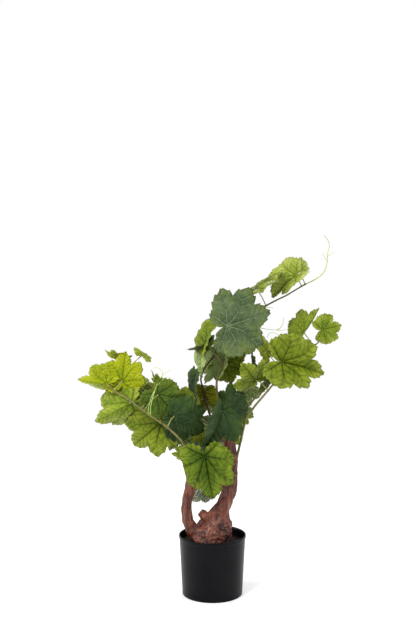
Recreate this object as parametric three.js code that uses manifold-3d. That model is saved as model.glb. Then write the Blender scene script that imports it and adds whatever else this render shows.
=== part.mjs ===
import * as THREE from "three";
import { mergeVertices } from "three/addons/utils/BufferGeometryUtils.js";
import Module from "manifold-3d";

// Millimetres, +Z up, the plant's front toward -Y. The centre of the pot's underside is the origin.

// Pot and filling: a pot of 130 mm across its rim and 116 mm high
const RIM_RADIUS = 65;
const POT_HEIGHT = 116;
const BODY_TOP_RADIUS = 63.9;
const BASE_RADIUS = 58.2;
const LIP_HEIGHT = 6;
const WALL = 2;
const FLOOR = 3;
const FILL_LEVEL = 102;
const TURNED_SIDES = 32;

// Stump and limbs
const GAP = 0.3;
const MERGE_DISTANCE = 1e-4;
const SLIVER = 0.15;
const LIMB_SIDES = 10;
const BARK_LUMPS = 0.09;
const TRUNK_DEPTH = 0.8;

// Canes, leaf stalks and leaves
const CANE_ROOT_RADIUS = 3.4;
const CANE_TIP_RADIUS = 1.9;
const CANE_SIDES = 4;
const CANE_STEP = 28;
const STALK_RADIUS = 1.8;
const STALK_SIDES = 3;
const SPRING_PLACES = 24;
const SHORT_STALK = 25;
const TENDRIL_RADIUS = 1.8;
const TENDRIL_STEPS = 10;
const TENDRIL_SIDES = 5;
const LEAF_HALF_THICKNESS = 2.4;
const LEAF_CUP = 0.10;

// One half of a leaf's outline: degrees from the tip, reach as a share of the midrib
const LOBES = [
  [0, 1.0], [21, 0.74], [42, 0.86], [64, 0.70], [88, 0.70], [136, 0.52], [180, 0.05],
];
const SMALL_LOBES = [[0, 1.0], [22, 0.76], [43, 0.86], [88, 0.70], [136, 0.52], [180, 0.05]];
const SMALL_LEAF = 48;
// How far the lobes beside the tip, the widest lobes and those by the stalk reach on the right half
// and then on the left half, as shares of the usual
const EVEN = [1, 1, 1, 1, 1, 1];
const SHARPEST_CORNER = 0.3;

// Each limb runs through [x, y, z, radius]
const LIMBS = {
  trunk: [
    [-3, 0, FILL_LEVEL + GAP, 46], [-1, 0, 112, 43], [8, 0, 126, 34], [12, 0, 142, 26.5],
    [13, 0, 156, 21], [20, 0, 169, 15], [28, 0, 187, 14.6], [34, 0, 202, 14],
  ],
  left_bough: [
    [-26, -3, 111, 12], [-37, -4, 123, 13.5], [-47, -4, 142, 11], [-50.5, -4, 165, 10],
    [-49, -4, 184, 10], [-44, -3, 201, 11.2], [-38, -2, 216, 13.6],
  ],
  right_bough: [
    [34, 0, 200, 13.6], [36, 0, 222, 12.2], [38, 0, 257, 12], [33, 0, 288, 12.2], [29, 0, 305, 11.5],
  ],
  middle_stub: [[6, -3, 138, 12], [-12, -5, 150, 10], [-24, -6, 161, 7.6]],
  fork_stub: [[31, -4, 196, 10], [26, -6, 207, 8.5], [23, -7, 215, 7.6]],
};

// Each cane runs through [x, y, z]
const CANES = {
  left: [
    [-46, -4, 213], [-52, -12, 243], [-60, -38, 288], [-53, -62, 304], [-84, -68, 337],
    [-116, -64, 358], [-142, -52, 375], [-164, -38, 389], [-186, -24, 398], [-195, -20, 406],
  ],
  right: [
    [45, 0, 256], [54, -4, 296], [59, -4, 320], [66, -2, 343], [81, 0, 365],
    [99, 2, 386], [123, 4, 414], [153, 4, 447], [179, 6, 470], [199, 8, 484], [209, 10, 493],
  ],
  centre: [
    [30, 4, 301], [25, 10, 318], [19, 5, 361], [11, 0, 383], [8, -2, 407], [11, 0, 430],
    [18, 2, 442], [23, 4, 459], [40, 8, 491], [67, 12, 528], [95, 16, 553], [119, 20, 567],
    [144, 24, 579], [171, 26, 595], [182, 26, 601],
  ],
  fork: [[17, 2, 446], [11, 0, 459], [-1, -4, 473], [-12, -8, 489]],
  inner: [
    [24, 7, 300], [8, 22, 314], [-10, 20, 361], [-17, 18, 393], [-22, 16, 412], [-21, 15, 424],
    [-13, 14, 441], [5, 14, 464],
  ],
  front: [[27, -8, 298], [12, -26, 302], [-6, -44, 297]],
  back: [[33, 8, 299], [42, 40, 322], [44, 78, 368], [36, 104, 425], [48, 100, 480], [62, 84, 520]],
  back_left: [[25, 9, 303], [-8, 46, 322], [-50, 74, 338], [-98, 80, 352], [-134, 70, 374]],
  back_right: [[47, 30, 330], [66, 48, 352], [90, 62, 378], [120, 68, 412], [150, 64, 446]],
  tendril: [
    [182, 26, 601], [200, 26, 610], [216, 26, 623], [222, 24, 641], [223, 22, 661],
    [226, 20, 674], [223, 18, 685], [215, 16, 695],
  ],
};

// Lengths of bare cane: [name, cane, from, to]
const BARE = [
  ["left_cane", "left", 0, 0.2],
  ["right_cane", "right", 0, 0.46],
  ["centre_cane", "centre", 0, 0.12],
  ["inner_cane", "inner", 0, 0.12],
  ["back_cane", "back", 0, 0.12],
  ["back_left_cane", "back_left", 0, 0.2],
];

// Leaf masses: [name, cane, from, to, leaves]. A leaf is
// [x, y, z where its stalk joins, clock, lean, roll, midrib, fold, droop]:
// clock turns its tip in the XZ plane (0 = +X, 90 = up), lean brings the tip toward the front,
// roll turns it about the midrib (180 shows its underside to the front). Some rows add EVEN's like.
const MASSES = [
  ["left_middle_leaves", "left", 0.6, 0.74, [
    [-103, -44, 395, -49, 0, 0, 56, 5, 12],
    [-115, 15, 372, 60, 0, 180, 46, 5, 10],
    [-96, 25, 402, 142, 0, 60, 37, 5, 10],
  ]],
  ["left_lower_leaves", "left", 0.2, 0.6, [
    [-100, -9, 335, 222, 0, 0, 72, 12, 12],
    [-73, -50, 355, -34, 0, -10, 66, 5, 12, [0.9, 0.75, 0.5, 1, 1, 0.9]],
    [-51, 10, 274, 195, 0, 30, 29, 5, 10],
    [-70, 24, 318, 250, -30, 190, 48, 10, 14],
  ]],
  ["left_hanging_leaves", "left", 0.74, 0.86, [
    [-155, -35, 377, 211, 0, 5, 80, -45, 10],
    [-150, 8, 366, 215, -42, 170, 54, 10, 12],
  ]],
  ["left_tip_leaves", "left", 0.86, 1, [
    [-172, -15, 416, 85, 0, 0, 55, 5, 8],
    [-201, -25, 413, 177, 0, 13, 56, -50, 8],
    [-172, 20, 457, 172, 0, 65, 39, 5, 10],
    [-137, 25, 462, 54, -70, 0, 29, 5, 10],
    [-190, 14, 414, 120, -35, 180, 36, 10, 12],
  ]],
  ["right_lower_leaves", "right", 0.46, 0.64, [
    [84, 5, 416, 128, 62, 0, 63, 5, 10],
    [83, 20, 439, 112, 0, 80, 31, 5, 10],
  ]],
  ["right_middle_leaves", "right", 0.64, 0.88, [
    [132, -25, 454, -12, 0, 18, 85, 32, 8],
    [105, 30, 470, 121, 0, -70, 49, 5, 10],
    [150, 32, 452, 30, -35, 175, 52, 10, 12],
  ]],
  ["right_tip_leaves", "right", 0.88, 1, [
    [212, 10, 513, 12, 0, 0, 39, 5, 8],
    [177, 20, 506, 53, 0, -18, 56, -60, 8],
  ]],
  ["front_low_leaves", "front", 0, 1, [
    [-14, -65, 281, -80, 0, 0, 84, 28, 8, [0.8, 0.75, 0.95, 0.95, 0.9, 0.8]],
    [-18, -5, 287, 100, 0, 20, 34, 5, 10],
    [-16, -25, 282, 155, 0, 60, 38, 5, 10],
    [-3, -20, 269, 38, 0, 0, 32, 5, 10],
  ]],
  ["front_centre_leaves", "centre", 0.12, 0.24, [
    [17, -50, 366, -104, 0, 42, 84, 26, 12, [0.85, 0.8, 0.7, 1, 0.5, 0.42]],
    [34, -34, 355, 91, 0, 5, 62, -50, 12],
    [42, 25, 346, 5, 0, 50, 39, 5, 10],
  ]],
  ["centre_leaves", "centre", 0.24, 0.42, [
    [19, 30, 446, -22, 0, -15, 53, 5, 10],
  ]],
  ["centre_left_leaves", "fork", 0, 1, [
    [-13, -6, 488, 69, 0, 74, 62, 18, 10],
    [-12, 0, 487, 211, 0, 80, 38, 5, 10],
    [-13, 5, 485, 247, 0, -74, 62, 7, 10],
  ]],
  ["inner_leaves", "inner", 0.12, 1, [
    [-17, 30, 388, -95, 0, 0, 42, 5, 10],
    [-44, 25, 368, 142, 0, 40, 43, 5, 10],
    [-32, -20, 425, 262, 0, -74, 46, 14, 5],
    [7, 25, 456, 259, 0, 125, 52, 5, 10],
  ]],
  ["upper_big_leaves", "centre", 0.42, 0.7, [
    [27, -42, 524, 17, 0, 0, 86, 5, 12, [1, 1, 1, 1.05, 1.08, 0.78]],
    [50, 40, 528, 60, -40, 180, 54, 10, 12],
  ]],
  ["upper_leaves", "centre", 0.7, 0.88, [
    [84, 10, 592, 42, 0, 83, 62, 5, 10],
  ]],
  ["top_leaves", "centre", 0.88, 1, [
    [162, 25, 616, 215, 0, -40, 60, 40, 10],
    [172, 40, 634, 38, -30, 0, 24, 10, 10],
  ]],
  ["back_low_leaves", "back", 0.12, 0.5, [
    [-8, 40, 206, -115, 0, 0, 39, 5, 10],
    [31, 30, 314, -55, 0, 0, 37, 5, 10],
    [10, 100, 306, -110, -38, 180, 60, 8, 14],
    [40, 128, 350, -70, -40, 170, 60, 8, 14],
    [-2, 118, 366, -130, -35, 190, 50, 8, 14],
    [46, 58, 330, -92, 0, 58, 50, 8, 14],
  ]],
  ["back_high_leaves", "back", 0.5, 1, [
    [34, 132, 456, 200, -35, 180, 42, 8, 14],
    [60, 132, 486, 40, -30, 180, 54, 8, 14],
    [78, 92, 516, 75, 10, 96, 38, 8, 12],
    [36, 78, 484, 105, 0, -84, 44, 8, 12],
  ]],
  ["back_left_leaves", "back_left", 0.2, 0.62, [
    [-46, 88, 318, -100, -35, 180, 56, 8, 14],
    [-60, 98, 350, 110, -25, 185, 38, 8, 14],
    [-30, 60, 350, 84, 0, -92, 48, 8, 14],
  ]],
  ["back_left_tip_leaves", "back_left", 0.62, 1, [
    [-118, 100, 348, -120, -30, 190, 52, 8, 14],
    [-140, 84, 376, 175, -35, 180, 46, 8, 14],
    [-150, 52, 380, -95, 0, -88, 50, 8, 12],
  ]],
  ["back_right_leaves", "back_right", 0, 1, [
    [82, 84, 392, 200, -30, 180, 36, 8, 12],
    [144, 92, 448, 10, -35, 180, 50, 8, 14],
    [150, 82, 462, 80, 0, 94, 50, 8, 12],
    [104, 40, 400, 60, 0, 86, 46, 8, 12],
  ]],
];

const wasm = await Module();
wasm.setup();

const vector = (p) => new THREE.Vector3(p[0], p[1], p[2]);

// Turns loose triangles into a manifold solid
function solid(positions, triangles) {
  return new wasm.Manifold(new wasm.Mesh({
    numProp: 3,
    vertProperties: new Float32Array(positions),
    triVerts: new Uint32Array(triangles),
  }));
}

// A closed three.js geometry as a manifold solid, its shared vertices merged
function solidOf(geometry) {
  geometry.deleteAttribute("normal");
  geometry.deleteAttribute("uv");
  const merged = mergeVertices(geometry, MERGE_DISTANCE);
  const index = merged.getIndex().array;
  const triangles = [];
  for (let i = 0; i < index.length; i += 3) {
    const [a, b, c] = index.slice(i, i + 3);
    if (a !== b && b !== c && c !== a) triangles.push(a, b, c);
  }
  return solid(merged.getAttribute("position").array, triangles);
}

// A smooth line through points
function smoothLine(points) {
  return new THREE.CatmullRomCurve3(points.map(vector), false, "catmullrom", 0.5);
}

// A closed round limb along points; grow makes it larger all round
function limb(points, radii, sides, grow = 0, lumps = 0) {
  const positions = [];
  const triangles = [];
  const last = points.length - 1;
  let across = null;
  for (let i = 0; i <= last; i++) {
    const ahead = points[Math.min(i + 1, last)].clone().sub(points[Math.max(i - 1, 0)]).normalize();
    if (!across) {
      across = Math.abs(ahead.y) < 0.9 ? new THREE.Vector3(0, 1, 0) : new THREE.Vector3(1, 0, 0);
    }
    across = across.clone().addScaledVector(ahead, -across.dot(ahead)).normalize();
    const other = ahead.clone().cross(across);
    const centre = points[i].clone();
    if (i === 0) centre.addScaledVector(ahead, -grow);
    if (i === last) centre.addScaledVector(ahead, grow);
    if (i === 0 || i === last) positions.push(centre.x, centre.y, centre.z);
    for (let j = 0; j < sides; j++) {
      const angle = (j / sides) * 2 * Math.PI;
      const wave = lumps * (Math.sin(3 * angle + 1.7 * i) + 0.6 * Math.sin(5 * angle - 2.3 * i));
      const r = radii[i] * (1 + wave) + grow / Math.cos(Math.PI / sides);
      const q = centre.clone()
        .addScaledVector(across, r * Math.cos(angle))
        .addScaledVector(other, r * Math.sin(angle));
      positions.push(q.x, q.y, q.z);
    }
  }
  const ring = (i, j) => (i === last ? 2 : 1) + i * sides + (j % sides);
  const endCentre = 1 + last * sides;
  for (let j = 0; j < sides; j++) {
    triangles.push(0, ring(0, j + 1), ring(0, j));
    triangles.push(endCentre, ring(last, j), ring(last, j + 1));
    for (let i = 0; i < last; i++) {
      triangles.push(ring(i, j), ring(i, j + 1), ring(i + 1, j + 1));
      triangles.push(ring(i, j), ring(i + 1, j + 1), ring(i + 1, j));
    }
  }
  return solid(positions, triangles);
}

// A stretch of cane, tapering along its whole length
function caneStretch(cane, from, to, grow) {
  const path = PATHS[cane];
  const steps = Math.max(2, Math.round((path.getLength() * (to - from)) / CANE_STEP));
  const points = [];
  const radii = [];
  for (let i = 0; i <= steps; i++) {
    const share = from + ((to - from) * i) / steps;
    points.push(path.getPointAt(share));
    radii.push(CANE_ROOT_RADIUS + (CANE_TIP_RADIUS - CANE_ROOT_RADIUS) * share);
  }
  return limb(points, radii, CANE_SIDES, grow);
}

// The nearest place on a stretch of cane, where a leaf's stalk springs
function spring(cane, from, to, junction) {
  const path = PATHS[cane];
  let best = null;
  for (let i = 1; i < SPRING_PLACES; i++) {
    const q = path.getPointAt(from + ((to - from) * i) / SPRING_PLACES);
    const d = q.distanceTo(junction);
    if (!best || d < best.d) best = { q, d };
  }
  return best.q;
}

// The leaf's own directions: across, tip and face
function leafAxes(clock, lean, roll) {
  const c = THREE.MathUtils.degToRad(clock);
  const l = THREE.MathUtils.degToRad(lean);
  const r = THREE.MathUtils.degToRad(roll);
  const tip0 = new THREE.Vector3(Math.cos(c), 0, Math.sin(c));
  const face0 = new THREE.Vector3(0, -1, 0);
  const side0 = tip0.clone().cross(face0);
  const tip = tip0.clone().multiplyScalar(Math.cos(l)).addScaledVector(face0, Math.sin(l));
  const face1 = face0.clone().multiplyScalar(Math.cos(l)).addScaledVector(tip0, -Math.sin(l));
  const side = side0.clone().multiplyScalar(Math.cos(r)).addScaledVector(face1, Math.sin(r));
  const face = face1.clone().multiplyScalar(Math.cos(r)).addScaledVector(side0, -Math.sin(r));
  return { side, tip, face };
}

// A point of the leaf's blade: folded along the midrib, cupped, drooping toward the tip
function bladePoint(leaf, axes, across, along, lift) {
  const size = leaf[6];
  const fold = THREE.MathUtils.degToRad(leaf[7]);
  const droop = THREE.MathUtils.degToRad(leaf[8]);
  const x = across * Math.cos(fold);
  const z = Math.abs(across) * Math.sin(fold) - LEAF_CUP * (across * across + along * along);
  const turn = droop * along;
  const y = Math.sin(turn) / droop + z * Math.sin(turn);
  const w = (Math.cos(turn) - 1) / droop + z * Math.cos(turn);
  return new THREE.Vector3(leaf[0], leaf[1], leaf[2])
    .addScaledVector(axes.side, x * size)
    .addScaledVector(axes.tip, y * size)
    .addScaledVector(axes.face, w * size + lift);
}

// One half of a leaf's outline with its lobes scaled by the half's three shares
function halfLobes(lobes, [side, widest, base]) {
  const share = (degrees) => (degrees > 100 ? base : degrees > 75 ? widest : degrees > 30 ? side : 1);
  return lobes.map(([degrees, reach]) => [degrees, reach * share(degrees)]);
}

// A leaf's outline, clockwise from its tip, in midribs; margin makes it larger all round
function leafRim(lobes, shares, margin) {
  const half = halfLobes(lobes, shares.slice(0, 3));
  const mirrored = halfLobes(lobes, shares.slice(3))
    .slice(1, -1).reverse().map(([degrees, reach]) => [-degrees, reach]);
  const corners = [...half, ...mirrored].map(([degrees, reach]) => {
    const turn = THREE.MathUtils.degToRad(degrees);
    return new THREE.Vector2(reach * Math.sin(turn), reach * Math.cos(turn));
  });
  const outward = (a, b) => new THREE.Vector2(a.y - b.y, b.x - a.x).normalize();
  return corners.map((corner, j) => {
    const arriving = outward(corners.at(j - 1), corner);
    const leaving = outward(corner, corners[(j + 1) % corners.length]);
    const spread = Math.max(SHARPEST_CORNER, 1 + arriving.dot(leaving));
    return corner.clone().addScaledVector(arriving.add(leaving), margin / spread);
  });
}

// A thick lobed blade
function blade(leaf, grow) {
  const axes = leafAxes(leaf[3], leaf[4], leaf[5]);
  const lobes = leaf[6] < SMALL_LEAF ? SMALL_LOBES : LOBES;
  const rim = leafRim(lobes, leaf[9] ?? EVEN, grow / leaf[6]);
  const n = rim.length;
  const lift = (LEAF_HALF_THICKNESS + grow) / Math.cos(THREE.MathUtils.degToRad(leaf[7]));
  const positions = [];
  for (const side of [lift, -lift]) {
    const hub = bladePoint(leaf, axes, 0, 0, side);
    positions.push(hub.x, hub.y, hub.z);
    for (const corner of rim) {
      const q = bladePoint(leaf, axes, corner.x, corner.y, side);
      positions.push(q.x, q.y, q.z);
    }
  }
  const triangles = [];
  for (let j = 0; j < n; j++) {
    const k = (j + 1) % n;
    const low = n + 1;
    triangles.push(0, 1 + k, 1 + j);
    triangles.push(low, low + 1 + j, low + 1 + k);
    triangles.push(1 + j, 1 + k, low + 1 + k);
    triangles.push(1 + j, low + 1 + k, low + 1 + j);
  }
  return solid(positions, triangles);
}

// A leaf's stalk, from the cane out and into the blade's joint
function stalk(leaf, cane, from, to, grow) {
  const joint = new THREE.Vector3(leaf[0], leaf[1], leaf[2]);
  const root = spring(cane, from, to, joint);
  const axes = leafAxes(leaf[3], leaf[4], leaf[5]);
  const reach = root.distanceTo(joint);
  const bow = root.clone().lerp(joint, 0.55)
    .addScaledVector(axes.face, -0.1 * reach)
    .add(new THREE.Vector3(0, 0, 0.06 * reach));
  const inside = joint.clone().addScaledVector(axes.tip, 3);
  const points = reach > SHORT_STALK ? [root, bow, inside] : [root, inside];
  return limb(points, points.map(() => STALK_RADIUS), STALK_SIDES, grow);
}

const PATHS = {};
for (const [name, points] of Object.entries(CANES)) PATHS[name] = smoothLine(points);

const group = new THREE.Group();
const placed = [];

// Adds one named solid, kept clear of everything placed before it
function place(name, build, colour) {
  let body = build(0);
  for (const other of placed) body = body.subtract(other);
  const pieces = body.decompose().sort((a, b) => b.volume() - a.volume());
  body = pieces[0].simplify(SLIVER);
  placed.push(build(GAP));
  const mesh = body.getMesh();
  const geometry = new THREE.BufferGeometry();
  geometry.setAttribute("position", new THREE.BufferAttribute(new Float32Array(mesh.vertProperties), 3));
  geometry.setIndex(new THREE.BufferAttribute(new Uint32Array(mesh.triVerts), 1));
  geometry.computeVertexNormals();
  const look = new THREE.MeshStandardMaterial({ color: colour, roughness: 0.6, metalness: 0 });
  const item = new THREE.Mesh(geometry, look);
  item.name = name;
  group.add(item);
}

// A turned body from [radius, height] pairs that begin and end on the axis
function turned(profile) {
  const outline = profile.map(([radius, height]) => new THREE.Vector2(radius, height));
  return solidOf(new THREE.LatheGeometry(outline, TURNED_SIDES).rotateX(Math.PI / 2));
}

const lipFoot = POT_HEIGHT - LIP_HEIGHT;
const slope = (BODY_TOP_RADIUS - BASE_RADIUS) / lipFoot;
const innerAt = (z) => BASE_RADIUS + slope * z - WALL;

// The pot and its filling keep clear of the rest by their own sizes
place("pot", () => turned([
  [0, 0], [BASE_RADIUS - 1.5, 0], [BASE_RADIUS, 1.5], [BODY_TOP_RADIUS, lipFoot],
  [RIM_RADIUS - 0.6, lipFoot + 0.6], [RIM_RADIUS, lipFoot + 2], [RIM_RADIUS, POT_HEIGHT - 1.2],
  [RIM_RADIUS - 1, POT_HEIGHT], [RIM_RADIUS - 2.6, POT_HEIGHT], [innerAt(lipFoot), lipFoot],
  [innerAt(FLOOR), FLOOR], [0, FLOOR],
]), "#17171a");
placed.length = 0;

place("pot_filler", (grow) => turned([
  [0, FLOOR + GAP], [innerAt(FLOOR) - GAP, FLOOR + GAP],
  [innerAt(FILL_LEVEL) - GAP, FILL_LEVEL], [0, FILL_LEVEL],
]), "#1d1916");
placed.length = 0;

// The stump and its boughs, cut flat just above the filling
const underStump = turned([
  [0, 0], [2 * RIM_RADIUS, 0], [2 * RIM_RADIUS, FILL_LEVEL + GAP], [0, FILL_LEVEL + GAP],
]);
for (const [name, stations] of Object.entries(LIMBS)) {
  const points = stations.map(vector);
  const radii = stations.map((s) => s[3]);
  place(name, (grow) => {
    let body = limb(points, radii, LIMB_SIDES, grow, BARK_LUMPS);
    if (name === "trunk") body = body.scale([1, TRUNK_DEPTH, 1]);
    return body.subtract(underStump);
  }, "#7a4a38");
}

for (const [name, cane, from, to] of BARE) {
  place(name, (grow) => caneStretch(cane, from, to, grow), "#77683a");
}

for (const [name, cane, from, to, leaves] of MASSES) {
  place(name, (grow) => {
    const pieces = [caneStretch(cane, from, to, grow)];
    for (const leaf of leaves) {
      pieces.push(blade(leaf, grow));
      pieces.push(stalk(leaf, cane, from, to, grow));
    }
    return wasm.Manifold.union(pieces);
  }, "#6f9a2e");
}

place("top_tendril", (grow) => {
  const points = PATHS.tendril.getSpacedPoints(TENDRIL_STEPS);
  const radii = points.map((p, i) => TENDRIL_RADIUS * (1 - i / (3 * TENDRIL_STEPS)));
  return limb(points, radii, TENDRIL_SIDES, grow);
}, "#a9b46a");

export default group;
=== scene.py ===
"""The looks of a potted artificial grapevine: stump, canes, fabric leaves, tendrils and pot.

Lengths are in millimetres until a mesh is built, but in metres for the camera, the lights and the floor.
"""

import math
import random

import bpy
import numpy as np
from mathutils import Matrix, Vector, noise


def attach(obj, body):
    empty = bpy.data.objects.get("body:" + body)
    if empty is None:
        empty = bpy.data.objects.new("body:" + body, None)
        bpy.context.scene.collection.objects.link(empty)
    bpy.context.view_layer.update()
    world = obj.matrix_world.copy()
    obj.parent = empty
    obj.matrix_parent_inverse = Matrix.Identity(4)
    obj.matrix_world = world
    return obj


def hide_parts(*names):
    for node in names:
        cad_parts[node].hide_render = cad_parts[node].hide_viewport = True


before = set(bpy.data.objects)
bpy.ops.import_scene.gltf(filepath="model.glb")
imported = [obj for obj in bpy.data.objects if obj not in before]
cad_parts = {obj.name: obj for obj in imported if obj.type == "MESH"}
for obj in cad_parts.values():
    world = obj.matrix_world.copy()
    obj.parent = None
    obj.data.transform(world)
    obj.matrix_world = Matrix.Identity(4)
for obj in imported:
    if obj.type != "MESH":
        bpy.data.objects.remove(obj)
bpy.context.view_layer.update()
MM = 0.001

# ---- camera and stage

CAMERA_PLACE = (-0.0085, -1.8, 0.650)
CAMERA_TILT = 86.75
CAMERA_LENS = 54.23
CAMERA_REACH = 60
WORLD_AS_LIGHT = 0.62
WORLD_AS_SEEN = 1.0
FLOOR_RADIUS = 1.5
FLOOR_LEVEL = -0.0002
FLOOR_SIDES = 96

# name: place, the point it aims at, size, watts and colour
LIGHTS = {
    "key": ((-1.2, -1.7, 2.3), (0, 0, 0.35), (1.0, 1.0), 62, (1.0, 0.985, 0.96)),
    "fill": ((2.0, -1.0, 1.3), (0, 0, 0.35), (0.9, 1.8), 22, (0.97, 0.985, 1.0)),
    "side": ((-2.0, 0.0, 0.8), (0, 0, 0.2), (0.5, 1.6), 16, (1, 1, 1)),
    "back": ((0.4, 1.8, 2.0), (0, 0, 0.4), (1.4, 1.0), 34, (1, 1, 1)),
}


def studio_camera():
    """The camera in front of the plant; its tilt is in degrees up from straight down."""
    data = bpy.data.cameras.new("camera")
    data.lens = CAMERA_LENS
    data.clip_end = CAMERA_REACH
    camera = bpy.data.objects.new("camera", data)
    camera.location = CAMERA_PLACE
    camera.rotation_euler = (math.radians(CAMERA_TILT), 0, 0)
    bpy.context.collection.objects.link(camera)
    return camera


def area_light(name, place, target, size, watts, colour):
    data = bpy.data.lights.new(name, "AREA")
    data.shape = "RECTANGLE"
    data.size, data.size_y = size
    data.energy = watts
    data.color = colour
    lamp = bpy.data.objects.new(name, data)
    lamp.location = place
    lamp.rotation_euler = (Vector(target) - Vector(place)).to_track_quat("-Z", "Y").to_euler()
    bpy.context.collection.objects.link(lamp)


def studio_world():
    """White to look at, and a softer white as light, so that the plant keeps its shading."""
    world = bpy.data.worlds.new("studio")
    world.use_nodes = True
    tree = world.node_tree
    background = tree.nodes["Background"]
    background.inputs["Color"].default_value = (1, 1, 1, 1)
    seen = tree.nodes.new("ShaderNodeMapRange")
    seen.inputs["To Min"].default_value = WORLD_AS_LIGHT
    seen.inputs["To Max"].default_value = WORLD_AS_SEEN
    tree.links.new(tree.nodes.new("ShaderNodeLightPath").outputs["Is Camera Ray"], seen.inputs["Value"])
    tree.links.new(seen.outputs[0], background.inputs["Strength"])
    return world


bpy.context.scene.camera = studio_camera()
bpy.context.scene.world = studio_world()
bpy.context.scene.view_settings.view_transform = "Standard"
for light, settings in LIGHTS.items():
    area_light(light, *settings)


# ---- node helpers

class Nodes:
    """A short way to wire a procedural material."""

    def __init__(self, name):
        self.material = bpy.data.materials.new(name)
        self.material.use_nodes = True
        self.tree = self.material.node_tree
        self.shader = self.tree.nodes["Principled BSDF"]

    def put(self, socket, value):
        """Links a socket to an output, or gives it a number or a colour."""
        if hasattr(value, "is_linked"):
            self.tree.links.new(value, socket)
        else:
            socket.default_value = (*value, 1) if isinstance(value, tuple) else value

    def math(self, operation, a, b=0.0, c=0.0):
        node = self.tree.nodes.new("ShaderNodeMath")
        node.operation = operation
        for socket, value in zip(node.inputs, (a, b, c)):
            self.put(socket, value)
        return node.outputs[0]

    def ramp(self, value, low, high, start=0.0, end=1.0):
        node = self.tree.nodes.new("ShaderNodeMapRange")
        node.interpolation_type = "SMOOTHSTEP"
        for socket, v in zip(node.inputs, (value, low, high, start, end)):
            self.put(socket, v)
        return node.outputs[0]

    def mix(self, share, a, b):
        node = self.tree.nodes.new("ShaderNodeMix")
        node.data_type = "RGBA"
        self.put(node.inputs[0], share)
        self.put(node.inputs[6], a)
        self.put(node.inputs[7], b)
        return node.outputs[2]

    def noise(self, scale, detail=3.0, rough=0.55, stretch=(1, 1, 1)):
        place = self.tree.nodes.new("ShaderNodeTexCoord").outputs["Object"]
        if stretch != (1, 1, 1):
            mapping = self.tree.nodes.new("ShaderNodeMapping")
            mapping.inputs["Scale"].default_value = stretch
            self.put(mapping.inputs["Vector"], place)
            place = mapping.outputs[0]
        node = self.tree.nodes.new("ShaderNodeTexNoise")
        self.put(node.inputs["Vector"], place)
        node.inputs["Scale"].default_value = scale
        node.inputs["Detail"].default_value = detail
        node.inputs["Roughness"].default_value = rough
        return node.outputs["Fac"]

    def cells(self, scale, feature="DISTANCE_TO_EDGE"):
        node = self.tree.nodes.new("ShaderNodeTexVoronoi")
        node.feature = feature
        self.put(node.inputs["Vector"], self.tree.nodes.new("ShaderNodeTexCoord").outputs["Object"])
        node.inputs["Scale"].default_value = scale
        return node.outputs["Distance"]

    def stored(self, name):
        """The three numbers kept under a name at each point of a mesh."""
        node = self.tree.nodes.new("ShaderNodeAttribute")
        node.attribute_name = name
        split = self.tree.nodes.new("ShaderNodeSeparateXYZ")
        self.put(split.inputs[0], node.outputs["Vector"])
        return split.outputs

    def bump(self, height, strength, distance):
        node = self.tree.nodes.new("ShaderNodeBump")
        node.inputs["Strength"].default_value = strength
        node.inputs["Distance"].default_value = distance
        self.put(node.inputs["Height"], height)
        self.put(self.shader.inputs["Normal"], node.outputs[0])

    def finish(self, colour, roughness, specular=0.5):
        self.put(self.shader.inputs["Base Color"], colour)
        self.put(self.shader.inputs["Roughness"], roughness)
        self.shader.inputs["Specular IOR Level"].default_value = specular
        return self.material


def rgb(r, g, b):
    """A colour from 0-255 screen values, as linear light."""
    return tuple(((v / 255 + 0.055) / 1.055) ** 2.4 if v > 10 else v / 255 / 12.92 for v in (r, g, b))


# ---- materials

# the leaf's print: steps between side veins and between ribs in midribs, and how far back they slant
VEIN_STEP = 0.14
RIB_STEP = 0.0467
VEIN_SLANT = 0.8


def stripes(n, reach, step):
    """How far a place is from the middle of its stripe: 0 there, 0.5 where two stripes meet."""
    return n.math("ABSOLUTE", n.math("SUBTRACT", n.math("FRACT", n.math("DIVIDE", reach, step)), 0.5))


def vein_masks(n, along, aside, band):
    """Where the main veins, the painted shade beside them, the side veins and the ribs between those run.
    """
    width = n.math("MULTIPLY_ADD", along, -0.013, 0.019)
    main = n.ramp(aside, n.math("MULTIPLY", width, 0.35), width, 1.0, 0.0)
    painted_vein_shade = n.ramp(aside, 0.0, n.math("MULTIPLY_ADD", along, -0.09, 0.12), 1.0, 0.0)
    wander = n.math("MULTIPLY_ADD", n.noise(60, 2), 0.09, -0.045)
    reach = n.math("ADD", n.math("MULTIPLY_ADD", aside, -VEIN_SLANT, along), wander)
    stripe = stripes(n, reach, VEIN_STEP)
    branch = n.ramp(stripe, 0.2 * band, band, 1.0, 0.0)
    branch = n.math("MULTIPLY", branch, n.ramp(n.noise(90, 2), 0.35, 0.6, 0.3, 1.0))
    return main, painted_vein_shade, branch, stripe, stripes(n, reach, RIB_STEP)


def blotches(n, base, shade):
    """The leaf's ground colour, lighter in flecks."""
    colour = n.mix(n.ramp(n.noise(34, 5, 0.62), 0.36, 0.64), shade, base)
    fleck = n.ramp(n.noise(150, 4, 0.65), 0.5, 0.72)
    return n.mix(n.math("MULTIPLY", fleck, 0.3), colour, lighter(base))


def lighter(colour):
    return tuple(min(1, c * 1.5 + 0.012) for c in colour)


def margin_tint(n, colour, rim, margin):
    """Patches of the margin's colour in the outer part, and a ragged line of it along the edge."""
    outer = n.math("MULTIPLY", n.ramp(rim, 0.44, 0.05), n.ramp(n.noise(58, 4, 0.62), 0.38, 0.6))
    colour = n.mix(n.math("MULTIPLY", outer, 0.5), colour, margin)
    ragged = n.math("MULTIPLY_ADD", n.noise(110, 3), 0.14, 0.0)
    return n.mix(n.math("MULTIPLY", n.ramp(rim, ragged, 0.0), 0.45), colour, margin)


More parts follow.
